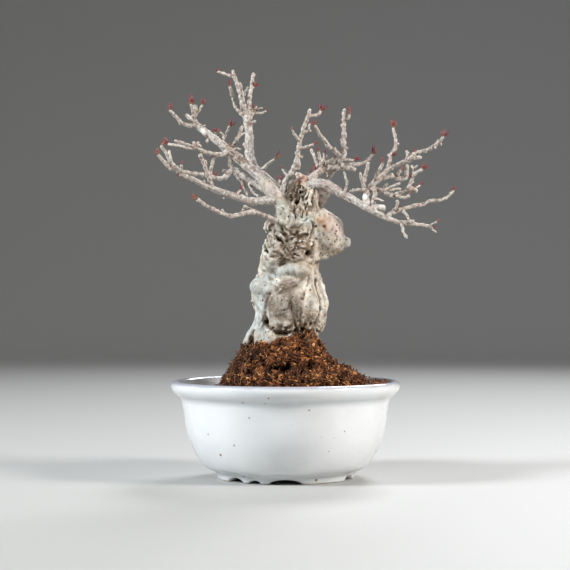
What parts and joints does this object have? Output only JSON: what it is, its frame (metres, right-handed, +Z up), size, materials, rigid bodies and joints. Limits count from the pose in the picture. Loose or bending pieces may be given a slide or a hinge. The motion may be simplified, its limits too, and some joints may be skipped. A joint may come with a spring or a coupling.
{
  "type": "potted bonsai tree",
  "caption": "Leafless shohin bonsai with a gnarled pale trunk, a burl and red-budded twigs, on a fibrous root mound in a round white glazed pot.",
  "frame": {"origin": "on the surface the pot stands on, under the middle of the whole tree's bounding box", "axes": "+Z up along the trunk, -Y towards the viewer of the bonsai's front, +X to that viewer's right"},
  "size_m": [0.1556, 0.1202, 0.2176],
  "materials": {
    "white_glaze": "glossy white glaze with a cool tint and a few brown iron specks",
    "dark_net": "matt black moulded net",
    "soil_granules": "dull reddish granules",
    "mound_fibre": "chopped orange-brown moss fibre and fine roots",
    "grey_bark": "pale grey bark with brown lenticels and dark crevices",
    "twig_bark": "buff grey twigs with knobs and crimson winter buds"
  },
  "bodies": {
    "root": {"pot": "white_glaze", "drain_net": "dark_net", "soil": "soil_granules", "root_mound": "mound_fibre", "trunk": "grey_bark", "limb_left_upper": "twig_bark", "limb_left_leader": "twig_bark", "limb_left_lower": "twig_bark", "limb_lowest": "twig_bark", "limb_centre": "twig_bark", "limb_crown": "twig_bark", "limb_right_lower": "twig_bark", "limb_right_upper": "twig_bark"}
  },
  "joints": []
}
